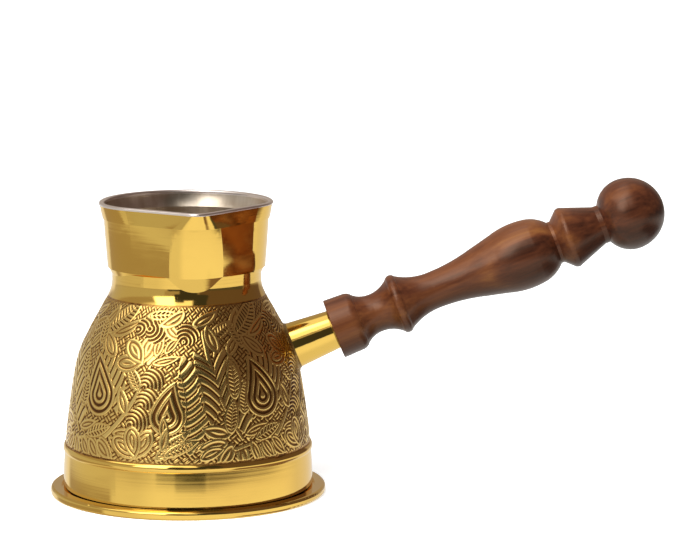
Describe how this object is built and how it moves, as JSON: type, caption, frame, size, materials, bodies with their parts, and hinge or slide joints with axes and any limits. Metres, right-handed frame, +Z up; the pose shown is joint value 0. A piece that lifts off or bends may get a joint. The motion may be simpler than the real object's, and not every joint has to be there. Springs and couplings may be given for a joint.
{
  "type": "turkish coffee pot",
  "caption": "Long-handled brass coffee pot with an engraved belly, a flared collar with a pouring beak, tinned inside, and a turned wooden handle screwed into a brass socket.",
  "frame": {"origin": "centre of the base plate's flat underside, on the pot's axis, where it stands", "axes": "+Z up along the pot's axis; +X towards the handle, which rises as it goes; the pouring beak points to -Y"},
  "size_m": [0.2262, 0.1012, 0.1154],
  "materials": {
    "polished_brass": "mirror polished, engraved and darkened on the belly",
    "turned_brass": "turned",
    "brazing": "dull, as brazed",
    "tin": "wiped tin, satin with soft streaks",
    "solder": "dull",
    "plated_steel": "zinc plated",
    "walnut": "dark red-brown, satin lacquer"
  },
  "bodies": {
    "pot": {"pot_body": "polished_brass", "base_plate": "polished_brass", "base_solder": "solder", "tin_lining": "tin", "handle_socket": "polished_brass", "socket_braze": "brazing", "socket_nut": "turned_brass"},
    "washer": {"seat_washer": "plated_steel"},
    "handle": {"handle_stud": "plated_steel", "handle_grip": "walnut"}
  },
  "joints": [
    {"name": "handle_travel", "type": "slide", "parent": "pot", "child": "washer", "axis": [0.9323, 0, 0.3616], "range_m": [0, 0.012]},
    {"name": "handle_turn", "type": "hinge", "parent": "washer", "child": "handle", "pos_m": [0.05385, 0, 0.06005], "axis": [0.9323, 0, 0.3616], "range_deg": [0, 4320]}
  ],
  "couplings": [
    {"joint": "handle_travel", "follows": "handle_turn", "m_per_rad": 0.00015915}
  ]
}
